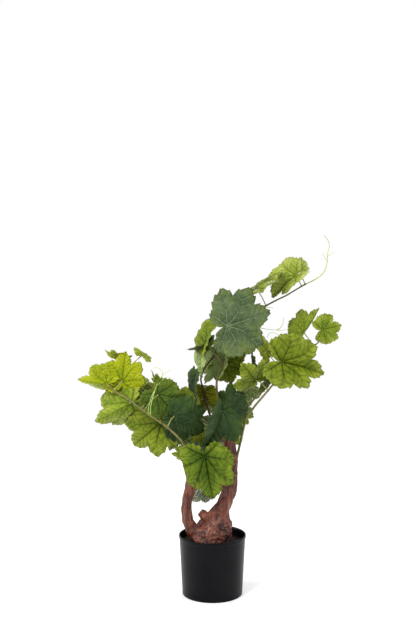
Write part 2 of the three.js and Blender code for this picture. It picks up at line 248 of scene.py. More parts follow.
def leaf_material(name, tint, underside=False):
    """A printed fabric vine leaf: blotched green, branching veins, painted shade beside the main veins and
    a tinted margin.
    """
    base, shade, vein, margin, vein_strength, rib_strength, band = tint
    n = Nodes(name)
    along, aside, rim = n.stored("leaf_place")
    main, painted_vein_shade, branch, stripe, ribs = vein_masks(n, along, aside, band)
    net = n.ramp(n.cells(380), 0.03, 0.14, 1.0, 0.0)
    colour = blotches(n, base, shade)
    colour = n.mix(n.math("MULTIPLY", n.ramp(stripe, 0.15, 0.5), 0.16), colour, lighter(base))
    colour = n.mix(n.math("MULTIPLY", net, 0.08), colour, vein)
    colour = n.mix(n.math("MULTIPLY", ribs, rib_strength), colour, lighter(base))
    colour = margin_tint(n, colour, rim, margin)
    # painted shade: the shade colour laid beside the main veins, broad near the stalk and fading along them
    colour = n.mix(n.math("MULTIPLY", painted_vein_shade, 0.5 * vein_strength), colour, shade)
    colour = n.mix(n.math("MULTIPLY", branch, 0.7 * vein_strength), colour, vein)
    colour = n.mix(n.math("MULTIPLY", main, vein_strength), colour, vein)
    # veins are pressed into the top of a leaf and stand out from its back
    lift = 1.0 if underside else -1.0
    height = n.math("MULTIPLY_ADD", main, lift, n.math("MULTIPLY", branch, 0.6 * lift))
    height = n.math("ADD", height, n.math("MULTIPLY", net, 0.1 * lift))
    height = n.math("ADD", height, n.math("MULTIPLY", n.ramp(stripe, 0.0, 0.5), -0.9 * lift))
    n.bump(n.math("MULTIPLY_ADD", ribs, 0.2, height), 0.6, 0.0014)
    rough = 0.68 if underside else n.ramp(n.noise(140, 3), 0.3, 0.7, 0.4, 0.58)
    return n.finish(colour, rough, 0.1)


# base, shade, vein and margin colours, how strongly veins and ribs show, how wide the side veins are
TINTS = {
    "frost": (rgb(78, 94, 60), rgb(36, 56, 30), rgb(138, 152, 116), rgb(104, 118, 56), 0.5, 0.6, 0.13),
    "dark": (rgb(44, 64, 28), rgb(20, 40, 14), rgb(84, 104, 66), rgb(62, 86, 26), 0.45, 0.25, 0.1),
    "deep": (rgb(76, 98, 26), rgb(42, 62, 16), rgb(30, 46, 10), rgb(112, 126, 34), 0.6, 0.3, 0.1),
    "mid": (rgb(84, 106, 16), rgb(48, 70, 6), rgb(24, 40, 4), rgb(128, 142, 40), 0.8, 0.3, 0.1),
    "fresh": (rgb(112, 126, 24), rgb(72, 90, 10), rgb(38, 58, 8), rgb(148, 158, 56), 0.8, 0.3, 0.1),
    "light": (rgb(122, 138, 36), rgb(86, 106, 18), rgb(62, 84, 16), rgb(168, 174, 72), 0.7, 0.3, 0.1),
    # this tint is the leaves' own yellow-green, lightened as painted light standing in for light shining
    # through them from behind
    "bright": (rgb(142, 152, 8), rgb(110, 126, 2), rgb(84, 100, 6), rgb(172, 176, 36), 0.7, 0.3, 0.1),
    "pale": (rgb(156, 168, 76), rgb(116, 134, 38), rgb(90, 108, 32), rgb(180, 184, 98), 0.6, 0.3, 0.1),
    "fern": (rgb(148, 166, 98), rgb(104, 128, 58), rgb(164, 178, 128), rgb(150, 166, 92), 0.6, 0.4, 0.16),
    "olive": (rgb(140, 146, 28), rgb(90, 96, 12), rgb(72, 50, 14), rgb(128, 128, 30), 0.7, 0.25, 0.1),
    # this tint's wide white veins are partly the leaf's pale veins and partly painted glints of light from
    # behind
    "striped": (rgb(76, 100, 60), rgb(44, 68, 34), rgb(226, 230, 214), rgb(150, 164, 110), 1.0, 0.3, 0.4),
}


# the printed back of a leaf: how much of the top's colour is left, what the rest and its veins go to
UNDER_KEEPS = 0.62
UNDER_GREY = rgb(150, 164, 112)
UNDER_VEIN = rgb(190, 198, 148)
WHITE_VEIN = 0.5


def under_of(tint):
    """The paler, duller back of a leaf; veins that are white on top stay white."""
    base, shade, vein, _, _, _, band = tint
    soft = [
        tuple(UNDER_KEEPS * c + (1 - UNDER_KEEPS) * g for c, g in zip(colour, UNDER_GREY))
        for colour in (base, shade)
    ]
    pale_vein = tuple((c + g) / 2 for c, g in zip(base, UNDER_VEIN))
    return soft[0], soft[1], pale_vein if max(vein) < WHITE_VEIN else vein, soft[0], 0.6, 0.25, band


LEAF_TOP = {t: leaf_material(f"leaf_{t}", c) for t, c in TINTS.items()}
LEAF_UNDER = {t: leaf_material(f"leaf_{t}_under", under_of(c), underside=True) for t, c in TINTS.items()}


def stem_material(name, low, high, patch, rough):
    """Coated wire: colour wanders along the stem, with fine lengthwise lines."""
    n = Nodes(name)
    colour = n.mix(n.ramp(n.noise(26, 3), 0.35, 0.65), low, high)
    colour = n.mix(n.math("MULTIPLY", n.ramp(n.noise(150, 4, 0.7), 0.52, 0.68), 0.7), colour, patch)
    n.bump(n.noise(420, 3, 0.6, (1, 1, 0.25)), 0.4, 0.0006)
    return n.finish(colour, n.ramp(n.noise(90), 0.3, 0.7, rough - 0.08, rough + 0.1))


CANE = stem_material("cane_coat", rgb(86, 84, 28), rgb(112, 104, 46), rgb(66, 44, 22), 0.5)
CANE_DARK = stem_material("cane_bark", rgb(62, 44, 24), rgb(88, 64, 36), rgb(36, 24, 14), 0.6)
STALK = stem_material("stalk_coat", rgb(132, 136, 62), rgb(160, 160, 84), rgb(120, 92, 52), 0.48)
TENDRIL = stem_material("tendril_coat", rgb(154, 182, 84), rgb(190, 202, 120), rgb(138, 158, 74), 0.42)


def bark_material():
    """Moulded stump: dark in the cracks with painted shade there, reddish brown, grey-pink where it is
    rubbed and as a painted highlight on the ridges, warm on the burls with a painted highlight on their
    knobs, painted shade in the cut ends' hollows and low inside the pot.
    """
    n = Nodes("stump_bark")
    relief, cut, burl = n.stored("bark")
    fine = n.noise(240, 5, 0.62, (1, 1, 0.4))
    streak = n.noise(110, 4, 0.6, (1, 1, 0.1))
    level = n.math("MULTIPLY_ADD", n.math("SUBTRACT", fine, 0.5), 0.5, relief)
    level = n.math("MULTIPLY_ADD", n.math("SUBTRACT", streak, 0.5), 0.9, level)
    # painted shade: the lowest tones, in cracks and grooves, go nearly black, on top of the bark's own dark
    colour = n.mix(n.ramp(level, 0.16, 0.46), rgb(14, 5, 4), rgb(66, 28, 20))
    colour = n.mix(n.ramp(level, 0.4, 0.66), colour, rgb(104, 52, 34))
    # grey-pink where the bark is rubbed, and a painted highlight on the raised ridges
    colour = n.mix(n.math("MULTIPLY", n.ramp(level, 0.7, 0.95), 0.75), colour, rgb(166, 114, 90))
    patch = n.ramp(n.noise(30, 3, 0.6), 0.48, 0.7)
    colour = n.mix(n.math("MULTIPLY", patch, 0.45), colour, rgb(104, 44, 24))
    # warm brown on the burls, laid on the raised tops of their knobs as a painted highlight as well
    warm = n.math("MULTIPLY", burl, n.ramp(level, 0.5, 0.9))
    colour = n.mix(n.math("MULTIPLY", warm, 0.55), colour, rgb(116, 66, 42))
    wood = n.mix(n.noise(300, 2), rgb(84, 52, 34), rgb(150, 112, 84))
    # painted shade: the hollow in the middle of each cut end goes nearly black
    wood = n.mix(n.ramp(cut, 0.55, 0.95), rgb(14, 7, 6), wood)
    colour = n.mix(n.ramp(cut, 0.2, 0.5), colour, wood)
    n.bump(n.math("MULTIPLY_ADD", streak, 0.8, fine), 0.8, 0.0016)
    return n.finish(colour, n.ramp(level, 0.3, 0.9, 0.5, 0.3), 0.4)


BARK = bark_material()


def pot_material():
    """Moulded black plastic with faint draw lines and handling marks."""
    n = Nodes("pot_plastic")
    streaks = n.noise(60, 4, 0.6, (1, 1, 0.06))
    marks = n.noise(22, 5, 0.7)
    colour = n.mix(n.ramp(marks, 0.3, 0.75), rgb(6, 5, 9), rgb(12, 11, 15))
    rough = n.math("MULTIPLY_ADD", streaks, 0.14, n.ramp(marks, 0.3, 0.8, 0.26, 0.36))
    n.bump(n.math("ADD", n.noise(900, 2), n.math("MULTIPLY", streaks, 0.8)), 0.1, 0.0004)
    return n.finish(colour, rough, 0.09)


POT = pot_material()


def filler_material():
    """The dark crumbly top of the cast filling."""
    n = Nodes("filler_crumb")
    crumb = n.cells(260, "F1")
    tone = n.math("ADD", n.math("MULTIPLY", n.noise(120, 5, 0.7), 0.7), n.math("MULTIPLY", crumb, 0.4))
    colour = n.mix(n.ramp(tone, 0.3, 0.75), rgb(8, 6, 6), rgb(30, 23, 20))
    n.bump(tone, 0.9, 0.002)
    return n.finish(colour, 0.88, 0.1)


FILLER = filler_material()


def floor_material():
    """A plain pale floor."""
    n = Nodes("pale_floor")
    tone = n.ramp(n.noise(3, 3), 0.3, 0.7)
    return n.finish(n.mix(tone, (0.94, 0.94, 0.94), (0.97, 0.97, 0.97)), 0.75, 0.2)


# ---- the plan of the plant, in mm

# one half of a leaf: degrees from its tip, reach in midribs, what the margin does there, and how many
# teeth there are from there to the next
LOBES = [
    (0, 1.04, "tip", 3), (22, 0.70, "notch", 2), (42, 0.88, "tip", 2), (62, 0.73, "notch", 2),
    (85, 0.74, "tip", 3), (112, 0.62, "round", 2), (135, 0.55, "round", 2), (152, 0.36, "round", 1),
    (180, 0.03, "end", 0),
]
# degrees from the tip to the main veins
VEINS = (0, 43, 86, 136)
# how far the lobes beside the tip, the widest lobes and those by the stalk reach on the right half and
# then on the left half, as shares of the usual, with the degrees at which each begins
EVEN = (1.0, 1.0, 1.0, 1.0, 1.0, 1.0)
SIDE_LOBES = 30
WIDEST_LOBES = 75
STALK_LOBES = 100

# the canes' routes from root to tip; fork, front and back_right branch off other canes
CANES = {
    "left": [
        (-46, -4, 213), (-52, -12, 243), (-60, -38, 288), (-53, -62, 304), (-84, -68, 337),
        (-116, -64, 358), (-142, -52, 375), (-164, -38, 389), (-186, -24, 398), (-195, -20, 406),
    ],
    "right": [
        (45, 0, 256), (54, -4, 296), (59, -4, 320), (66, -2, 343), (81, 0, 365), (99, 2, 386),
        (123, 4, 414), (153, 4, 447), (179, 6, 470), (199, 8, 484), (209, 10, 493),
    ],
    "centre": [
        (30, 4, 301), (25, 10, 318), (19, 5, 361), (11, 0, 383), (8, -2, 407), (11, 0, 430),
        (18, 2, 442), (23, 4, 459), (40, 8, 491), (67, 12, 528), (95, 16, 553), (119, 20, 567),
        (144, 24, 579), (171, 26, 595), (182, 26, 601),
    ],
    "fork": [(17, 2, 446), (11, 0, 459), (-1, -4, 473), (-12, -8, 489)],
    "inner": [
        (24, 7, 300), (8, 22, 314), (-10, 20, 361), (-17, 18, 393), (-22, 16, 412), (-21, 15, 424),
        (-13, 14, 441), (5, 14, 464),
    ],
    "front": [(27, -8, 298), (12, -26, 302), (-6, -44, 297)],
    "back": [(33, 8, 299), (42, 40, 322), (44, 78, 368), (36, 104, 425), (48, 100, 480), (62, 84, 520)],
    "back_left": [(25, 9, 303), (-8, 46, 322), (-50, 74, 338), (-98, 80, 352), (-134, 70, 374)],
    "back_right": [(47, 30, 330), (66, 48, 352), (90, 62, 378), (120, 68, 412), (150, 64, 446)],
    "tendril": [
        (182, 26, 601), (200, 26, 610), (216, 26, 623), (222, 24, 641), (223, 22, 661),
        (226, 20, 674), (223, 18, 685), (215, 16, 695),
    ],
}

# mass: its cane, the shares of the cane's length between which its stalks spring, and its leaves, each
# with x, y and z of its joint, clock, lean, roll, midrib, fold, droop and tint, and EVEN's like where the
# leaf isn't even. Clock turns the tip in the XZ plane (0 = +X, 90 = up), lean brings it to the front and
# roll turns the leaf about its midrib (180 shows its underside to the front).
MASSES = {
    "left_middle_leaves": ("left", 0.6, 0.74, [
        (-103, -44, 395, -49, 0, 0, 56, 5, 12, "deep"),
        (-115, 15, 372, 60, 0, 180, 46, 5, 10, "olive"),
        (-96, 25, 402, 142, 0, 60, 37, 5, 10, "light"),
    ]),
    "left_lower_leaves": ("left", 0.2, 0.6, [
        (-100, -9, 335, 222, 0, 0, 72, 12, 12, "fresh"),
        (-73, -50, 355, -34, 0, -10, 66, 5, 12, "dark", (0.9, 0.75, 0.5, 1.0, 1.0, 0.9)),
        (-51, 10, 274, 195, 0, 30, 29, 5, 10, "light"),
        (-70, 24, 318, 250, -30, 190, 48, 10, 14, "deep"),
    ]),
    "left_hanging_leaves": ("left", 0.74, 0.86, [
        (-155, -35, 377, 211, 0, 5, 80, -45, 10, "light"),
        (-150, 8, 366, 215, -42, 170, 54, 10, 12, "mid"),
    ]),
    "left_tip_leaves": ("left", 0.86, 1, [
        (-172, -15, 416, 85, 0, 0, 55, 5, 8, "bright"),
        (-201, -25, 413, 177, 0, 13, 56, -50, 8, "bright"),
        (-172, 20, 457, 172, 0, 65, 39, 5, 10, "bright"),
        (-137, 25, 462, 54, -70, 0, 29, 5, 10, "bright"),
        (-190, 14, 414, 120, -35, 180, 36, 10, 12, "bright"),
    ]),
    "right_lower_leaves": ("right", 0.46, 0.64, [
        (84, 5, 416, 128, 62, 0, 63, 5, 10, "fresh"),
        (83, 20, 439, 112, 0, 80, 31, 5, 10, "deep"),
    ]),
    "right_middle_leaves": ("right", 0.64, 0.88, [
        (132, -25, 454, -12, 0, 18, 85, 32, 8, "fresh"),
        (105, 30, 470, 121, 0, -70, 49, 5, 10, "bright"),
        (150, 32, 452, 30, -35, 175, 52, 10, 12, "mid"),
    ]),
    "right_tip_leaves": ("right", 0.88, 1, [
        (212, 10, 513, 12, 0, 0, 39, 5, 8, "light"),
        (177, 20, 506, 53, 0, -18, 56, -60, 8, "light"),
    ]),
    "front_low_leaves": ("front", 0, 1, [
        (-14, -65, 281, -80, 0, 0, 84, 28, 8, "mid", (0.8, 0.75, 0.95, 0.95, 0.9, 0.8)),
        (-18, -5, 287, 100, 0, 20, 34, 5, 10, "olive"),
        (-16, -25, 282, 155, 0, 60, 38, 5, 10, "dark"),
        (-3, -20, 269, 38, 0, 0, 32, 5, 10, "dark"),
    ]),
    "front_centre_leaves": ("centre", 0.12, 0.24, [
        (17, -50, 366, -104, 0, 42, 84, 26, 12, "dark", (0.85, 0.8, 0.7, 1.0, 0.5, 0.42)),
        (34, -34, 355, 91, 0, 5, 62, -50, 12, "dark"),
        (42, 25, 346, 5, 0, 50, 39, 5, 10, "light"),
    ]),
    "centre_leaves": ("centre", 0.24, 0.42, [
        (19, 30, 446, -22, 0, -15, 53, 5, 10, "fresh"),
    ]),
    "centre_left_leaves": ("fork", 0, 1, [
        (-13, -6, 488, 69, 0, 74, 62, 18, 10, "fresh"),
        (-12, 0, 487, 211, 0, 80, 38, 5, 10, "frost"),
        (-13, 5, 485, 247, 0, -74, 62, 7, 10, "fern"),
    ]),
    "inner_leaves": ("inner", 0.12, 1, [
        (-17, 30, 388, -95, 0, 0, 42, 5, 10, "olive"),
        (-44, 25, 368, 142, 0, 40, 43, 5, 10, "light"),
        (-32, -20, 425, 262, 0, -74, 46, 14, 5, "dark"),
        (7, 25, 456, 259, 0, 125, 52, 5, 10, "fern"),
    ]),
    "upper_big_leaves": ("centre", 0.42, 0.7, [
        (27, -42, 524, 17, 0, 0, 86, 5, 12, "frost", (1.0, 1.0, 1.0, 1.05, 1.08, 0.78)),
        (50, 40, 528, 60, -40, 180, 54, 10, 12, "deep"),
    ]),
    "upper_leaves": ("centre", 0.7, 0.88, [
        (84, 10, 592, 42, 0, 83, 62, 5, 10, "fresh"),
    ]),
    "top_leaves": ("centre", 0.88, 1, [
        (162, 25, 616, 215, 0, -40, 60, 40, 10, "pale"),
        (172, 40, 634, 38, -30, 0, 24, 10, 10, "pale"),
    ]),
    "back_low_leaves": ("back", 0.12, 0.5, [
        (-15, 30, 200, -128, 0, 0, 38, 5, 10, "striped"),
        (31, 30, 314, -55, 0, 0, 37, 5, 10, "light"),
        (10, 100, 306, -110, -38, 180, 60, 8, 14, "mid"),
        (40, 128, 350, -70, -40, 170, 60, 8, 14, "deep"),
        (-2, 118, 366, -130, -35, 190, 50, 8, 14, "dark"),
        (46, 58, 330, -92, 0, 58, 50, 8, 14, "light"),
    ]),
    "back_high_leaves": ("back", 0.5, 1, [
        (34, 132, 456, 200, -35, 180, 42, 8, 14, "mid"),
        (60, 132, 486, 40, -30, 180, 54, 8, 14, "light"),
        (78, 92, 516, 75, 10, 96, 38, 8, 12, "bright"),
        (36, 78, 484, 105, 0, -84, 44, 8, 12, "mid"),
    ]),
    "back_left_leaves": ("back_left", 0.2, 0.62, [
        (-46, 88, 318, -100, -35, 180, 56, 8, 14, "dark"),
        (-60, 98, 350, 110, -25, 185, 38, 8, 14, "mid"),
        (-30, 60, 350, 84, 0, -92, 48, 8, 14, "deep"),
    ]),
    "back_left_tip_leaves": ("back_left", 0.62, 1, [
        (-118, 100, 348, -120, -30, 190, 52, 8, 14, "mid"),
        (-140, 84, 376, 175, -35, 180, 46, 8, 14, "light"),
        (-150, 52, 380, -95, 0, -88, 50, 8, 12, "light"),
    ]),
    "back_right_leaves": ("back_right", 0, 1, [
        (82, 84, 392, 200, -30, 180, 36, 8, 12, "mid"),
        (144, 92, 448, 10, -35, 180, 50, 8, 14, "light"),
        (150, 82, 462, 80, 0, 94, 50, 8, 12, "light"),
        (104, 40, 400, 60, 0, 86, 46, 8, 12, "mid"),
    ]),
}


# ---- smooth lines and tubes

def smooth_line(points, steps=10):
    """A Catmull-Rom line through the points."""
    p = [np.array(q, float) for q in points]
    out = []
    for i in range(len(p) - 1):
        b, c = p[i], p[i + 1]
        a = p[i - 1] if i else 2 * b - c
        d = p[i + 2] if i + 2 < len(p) else 2 * c - b
        for k in range(steps):
            t = k / steps
            out.append(0.5 * (a * (2 * t * t - t**3 - t) + b * (2 - 5 * t * t + 3 * t**3)
                              + c * (t + 4 * t * t - 3 * t**3) + d * (t**3 - t * t)))
    out.append(p[-1])
    return np.array(out)


class Path:
    """A smooth line that can be walked by shares of its length."""

    def __init__(self, points):
        self.line = smooth_line(points)
        run = np.linalg.norm(np.diff(self.line, axis=0), axis=1)
        self.run = np.concatenate([[0], np.cumsum(run)])
        self.length = self.run[-1]

    def at(self, share):
        want = np.clip(share, 0, 1) * self.length
        return np.array([np.interp(want, self.run, self.line[:, i]) for i in range(3)]).T


PATHS = {name: Path(points) for name, points in CANES.items()}


class Soup:
    """Collects vertices and faces, with a material index and a place per vertex."""

    def __init__(self):
        self.points, self.faces, self.slots, self.places, self.uvs = [], [], [], [], []
        self.count = 0

    def add(self, points, faces, slot, places=None, uvs=None):
        points = np.asarray(points, float)
        self.points.append(points)
        for f in faces:
            self.faces.append([i + self.count for i in f])
        self.slots += [slot] * len(faces) if isinstance(slot, int) else list(slot)
        self.places.append(np.zeros_like(points) if places is None else np.asarray(places, float))
        if uvs is not None:
            self.uvs += uvs
        self.count += len(points)

    def build(self, name, materials, attribute=None):
        mesh = bpy.data.meshes.new(name)
        points = np.concatenate(self.points) * MM
        mesh.from_pydata(points.tolist(), [], self.faces)
        for m in materials:
            mesh.materials.append(m)
        mesh.polygons.foreach_set("material_index", self.slots)
        mesh.polygons.foreach_set("use_smooth", [True] * len(self.faces))
        if attribute:
            layer = mesh.attributes.new(attribute, "FLOAT_VECTOR", "POINT")
            layer.data.foreach_set("vector", np.concatenate(self.places).ravel().astype(np.float32))
        if self.uvs:
            layer = mesh.uv_layers.new(name="OFBake")
            layer.data.foreach_set("uv", np.array(self.uvs, np.float32).ravel())
        mesh.update()
        piece = bpy.data.objects.new(name, mesh)
        bpy.context.collection.objects.link(piece)
        return piece


def tube(points, radii, sides=10, rough=0.0, seed=0.0):
    """A closed round tube; rough makes its skin uneven."""
    points = np.asarray(points, float)
    n = len(points)
    verts, faces = [], []
    across = None
    for i in range(n):
        ahead = points[min(i + 1, n - 1)] - points[max(i - 1, 0)]
        ahead /= np.linalg.norm(ahead) + 1e-9
        if across is None:
            across = np.array([0, 1.0, 0]) if abs(ahead[1]) < 0.9 else np.array([1.0, 0, 0])
        across = across - ahead * across.dot(ahead)
        across /= np.linalg.norm(across)
        other = np.cross(ahead, across)
        for j in range(sides):
            a = 2 * math.pi * j / sides
            r = radii[i]
            if rough:
                q = points[i] + r * (across * math.cos(a) + other * math.sin(a))
                r *= 1 + rough * noise.noise(Vector(q * 0.22) + Vector((seed, 0, 0)))
            verts.append(points[i] + r * (across * math.cos(a) + other * math.sin(a)))
    for i in range(n - 1):
        for j in range(sides):
            k = (j + 1) % sides
            faces.append([i * sides + j, i * sides + k, (i + 1) * sides + k, (i + 1) * sides + j])
    verts.append(points[0])
    verts.append(points[-1])
    for j in range(sides):
        k = (j + 1) % sides
        faces.append([n * sides, k, j])
        faces.append([n * sides + 1, (n - 1) * sides + j, (n - 1) * sides + k])
    return np.array(verts), faces


# ---- leaves

# a tooth's outline from one notch to the next, and its usual height in midribs
TOOTH = (0.0, 1.0, 0.72, 0.42, 0.16)
PER_TOOTH = len(TOOTH)
TOOTH_HEIGHT = 0.034
# how far from its stalk each ring of a blade lies, 1 being the margin
RINGS = np.array([0.05, 0.12, 0.21, 0.31, 0.42, 0.53, 0.64, 0.75, 0.85, 0.93, 1.0])
LEAF_CUP = 0.10
HALF_THICKNESS = 0.28
# a leaf's plan in midribs, as laid out in its cell of the bake picture, and the gap around a cell
PLAN_CORNER = (0.95, 0.7)
PLAN_SPAN = (1.9, 1.75)
CELL_GAP = 0.004


def half_outline(rng, reaches):
    """Points down one side of a leaf, from tip to sinus, with teeth that point to the lobe's tip."""
    keys = []
    for k, (degrees, reach, kind, _) in enumerate(LOBES):
        loose = 0 if k in (0, len(LOBES) - 1) else 1
        a = math.radians(degrees + loose * rng.uniform(-4, 4))
        slack = 0.12 if kind == "notch" else 0.06
        r = reach * (1 + loose * rng.uniform(-slack, slack))
        if degrees > SIDE_LOBES:
            r *= reaches[(degrees > WIDEST_LOBES) + (degrees > STALK_LOBES)]
        keys.append(np.array([r * math.sin(a), r * math.cos(a)]))
    line = []
    for k, (p, q) in enumerate(zip(keys[:-1], keys[1:])):
        towards_tip = LOBES[k + 1][2] == "tip"
        teeth = LOBES[k][3]
        d = q - p
        out = np.array([-d[1], d[0]]) / np.linalg.norm(d)
        sizes = [TOOTH_HEIGHT * rng.uniform(0.7, 1.35) for _ in range(teeth)]
        for i in range(teeth * PER_TOOTH):
            t = i / (teeth * PER_TOOTH)
            from_tip = 1 - t if towards_tip else t
            swell = 0.13 * np.linalg.norm(d) * math.sin(math.pi * from_tip**1.4)
            bite = TOOTH[-i % PER_TOOTH if towards_tip else i % PER_TOOTH] * sizes[i // PER_TOOTH]
            lean = 0.7 if towards_tip else -0.7
            line.append(p + d * t + out * (swell + bite) + lean * bite * d / np.linalg.norm(d))
    line[0] = keys[0]
    line.append(keys[-1])
    return np.array(line)


def leaf_axes(clock, lean, roll):
    """The ways to a leaf's side, its tip and out of its top, from its three turns in degrees."""
    c, l, r = (math.radians(v) for v in (clock, lean, roll))
    tip0 = np.array([math.cos(c), 0, math.sin(c)])
    face0 = np.array([0, -1.0, 0])
    side0 = np.cross(tip0, face0)
    tip = math.cos(l) * tip0 + math.sin(l) * face0
    face1 = math.cos(l) * face0 - math.sin(l) * tip0
    side = math.cos(r) * side0 + math.sin(r) * face1
    face = math.cos(r) * face1 - math.sin(r) * side0
    return side, tip, face


def vein_places(radius, angle, rng):
    """How far each point is along its nearest main vein, and how far beside it."""
    bent = angle + 9 * np.sin(4.5 * radius + rng.uniform(-1, 1)) * np.sign(angle) * (np.abs(angle) > 20)
    turns = [v + (rng.uniform(-4, 4) if v else 0) for v in VEINS]
    apart = np.radians(np.min([np.abs(np.abs(bent) - v) for v in turns], axis=0))
    return radius * np.cos(apart), radius * np.sin(apart)


def blade_relief(aside, rho, radius, angle, rng):
    """How far a blade stands off its plane: domed between sunk veins, ruffled margin, lobes bent back."""
    phase = [rng.uniform(0, 6.28) for _ in range(3)]
    theta = np.radians(angle)
    relief = 0.26 * aside * (1 - aside / 0.45) - 0.012 * np.exp(-((aside / 0.022) ** 2)) * (radius > 0.02)
    ruffle = 0.040 * np.sin(3 * theta + phase[0]) + 0.022 * np.sin(8 * theta + phase[1])
    relief = relief + rho**2.5 * ruffle + 0.014 * rho**4 * np.sin(17 * theta + phase[2])
    return relief - 0.16 * np.maximum(radius - 0.5, 0)


def fold_and_droop(flat, radius, relief, fold, droop):
    """Folds a blade along its midrib and bends it down; gives its side, tip and face coordinates."""
    f, k = math.radians(fold), math.radians(droop)
    lift = np.abs(flat[:, 0]) * math.sin(f) - LEAF_CUP * radius**2 + relief
    turn = k * flat[:, 1]
    across = flat[:, 0] * math.cos(f)
    ahead = np.sin(turn) / k + lift * np.sin(turn)
    out = (np.cos(turn) - 1) / k + lift * np.cos(turn)
    return across, ahead, out


def blade_faces(n, upper_count):
    """The faces of both sides of a blade with n points on its rim, as (underside or not, corners).

    A corner is a vertex and the point of the plan it stands on; the two sides share the margin.
    """
    last = len(RINGS) - 1

    def corner(ring, j, below):
        point = 1 + ring * n + j % n
        return (point + upper_count if below and ring < last else point), point

    for below in (False, True):
        hub = (upper_count if below else 0, 0)
        for ring in range(-1, last):
            for j in range(n):
                if ring < 0:
                    corners = [hub, corner(0, j + 1, below), corner(0, j, below)]
                else:
                    around = [(ring, j), (ring, j + 1), (ring + 1, j + 1), (ring + 1, j)]
                    corners = [corner(r, c, below) for r, c in around]
                yield below, corners[::-1] if below else corners


def add_leaf(soup, leaf, top, under, rng, cell):
    """One leaf blade: two fans of rings that meet at the toothed margin."""
    x, y, z, clock, lean, roll, size, fold, droop = leaf[:9]
    reaches = leaf[10] if len(leaf) > 10 else EVEN
    side, tip, face = leaf_axes(clock, lean, roll)
    right = half_outline(rng, reaches[:3])
    left = half_outline(rng, reaches[3:]) * [-1, 1]
    rim = np.concatenate([right, left[1:-1][::-1]])
    n = len(rim)
    flat = np.concatenate([[[0, 0]], (RINGS[:, None, None] * rim[None]).reshape(-1, 2)])
    rho = np.concatenate([[0], np.repeat(RINGS, n)])
    radius = np.linalg.norm(flat, axis=1)
    angle = np.degrees(np.arctan2(flat[:, 0], flat[:, 1]))
    along, aside = vein_places(radius, angle, rng)
    edge = (1 - rho) * np.maximum(radius / np.maximum(rho, 0.05), 0.2)
    relief = blade_relief(aside, rho, radius, angle, rng)
    a, b, w = fold_and_droop(flat, radius, relief, fold, droop)
    middle = np.array([x, y, z]) + size * (a[:, None] * side + b[:, None] * tip + w[:, None] * face)
    skin = HALF_THICKNESS * np.minimum(1, (1 - rho) * 8)
    upper = middle + skin[:, None] * face
    inner = len(upper) - n
    lower = (middle - skin[:, None] * face)[:inner]
    places = np.stack([along, aside, edge], 1)
    faces, slots, uvs = [], [], []
    left_edge, bottom, wide, high = cell
    plan = np.clip((flat + np.array(PLAN_CORNER)) / np.array(PLAN_SPAN), 0.0, 1.0)
    for below, corners in blade_faces(n, len(upper)):
        faces.append([vertex for vertex, _ in corners])
        slots.append(under if below else top)
        half = 0.5 if below else 0.0
        for _, point in corners:
            u, v = plan[point]
            uvs.append((left_edge + wide * (half + 0.49 * u), bottom + high * v))
    places = np.concatenate([places, places[:inner]])
    soup.add(np.concatenate([upper, lower]), faces, slots, places, uvs)


def bake_cell(k, count):
    """The k-th of count leaves' own part of the bake picture: left, bottom, width and height."""
    across = max(1, math.ceil(math.sqrt(count / 2)))
    down = math.ceil(count / across)
    left, bottom = (k % across) / across + CELL_GAP, (k // across) / down + CELL_GAP
    return left, bottom, 1 / across - 2 * CELL_GAP, 1 / down - 2 * CELL_GAP


def leaf_blades(mass_index, mass):
    """The blades of one leaf mass as one piece, with only the tints it uses."""
    soup = Soup()
    leaves = MASSES[mass][3]
    tints = sorted({leaf[9] for leaf in leaves}, key=list(TINTS).index)
    for k, leaf in enumerate(leaves):
        rng = random.Random(1000 * mass_index + 17 * k + 5)
        top = tints.index(leaf[9])
        add_leaf(soup, leaf, top, len(tints) + top, rng, bake_cell(k, len(leaves)))
    materials = [LEAF_TOP[t] for t in tints] + [LEAF_UNDER[t] for t in tints]
    return soup.build(f"{mass}_blades", materials, "leaf_place")


made = {}
for mass_index, mass in enumerate(MASSES):
    blades = leaf_blades(mass_index, mass)
    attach(blades, "root")
    made[mass] = blades


# ---- stalks, canes and tendrils

SPRING_PLACES = 24
# radius at the root and how much of it is gone at the tip
CANE_TAPER = (2.6, 1.25)
BRANCH_TAPER = (2.0, 0.6)
CANE_STEP = 2.2
BRANCHES = ("fork", "front")
DARK_CANES = ("inner", "front", "back")
# the centre cane is dark up to this height
DARK_BELOW = 345
JOINT_SWELLING = 0.55
JOINT_REACH = 2.6
# radius at the root and at the tip
TOP_TENDRIL = (1.25, 0.55)
HOOK = (0.85, 0.4)
CURL = (0.7, 0.36)


def spring(cane, start, end, joint):
    """The place between two shares of a cane that is nearest to a leaf's joint."""
    shares = start + (end - start) * np.arange(1, SPRING_PLACES) / SPRING_PLACES
    spots = PATHS[cane].at(shares)
    return spots[np.argmin(np.linalg.norm(spots - joint, axis=1))]


def stalk_line(leaf, cane, start, end):
    """A stalk's bowed way from its cane to just inside its leaf."""
    joint = np.array(leaf[:3], float)
    root = spring(cane, start, end, joint)
    _, tip, face = leaf_axes(*leaf[3:6])
    reach = np.linalg.norm(joint - root)
    bow = root + 0.55 * (joint - root) - face * 0.1 * reach + np.array([0, 0, 0.06 * reach])
    inside = joint + tip * 1.0 - face * 0.3
    return smooth_line([root, root + 0.5 * (bow - root) - face * 0.03 * reach, bow, inside], 7)


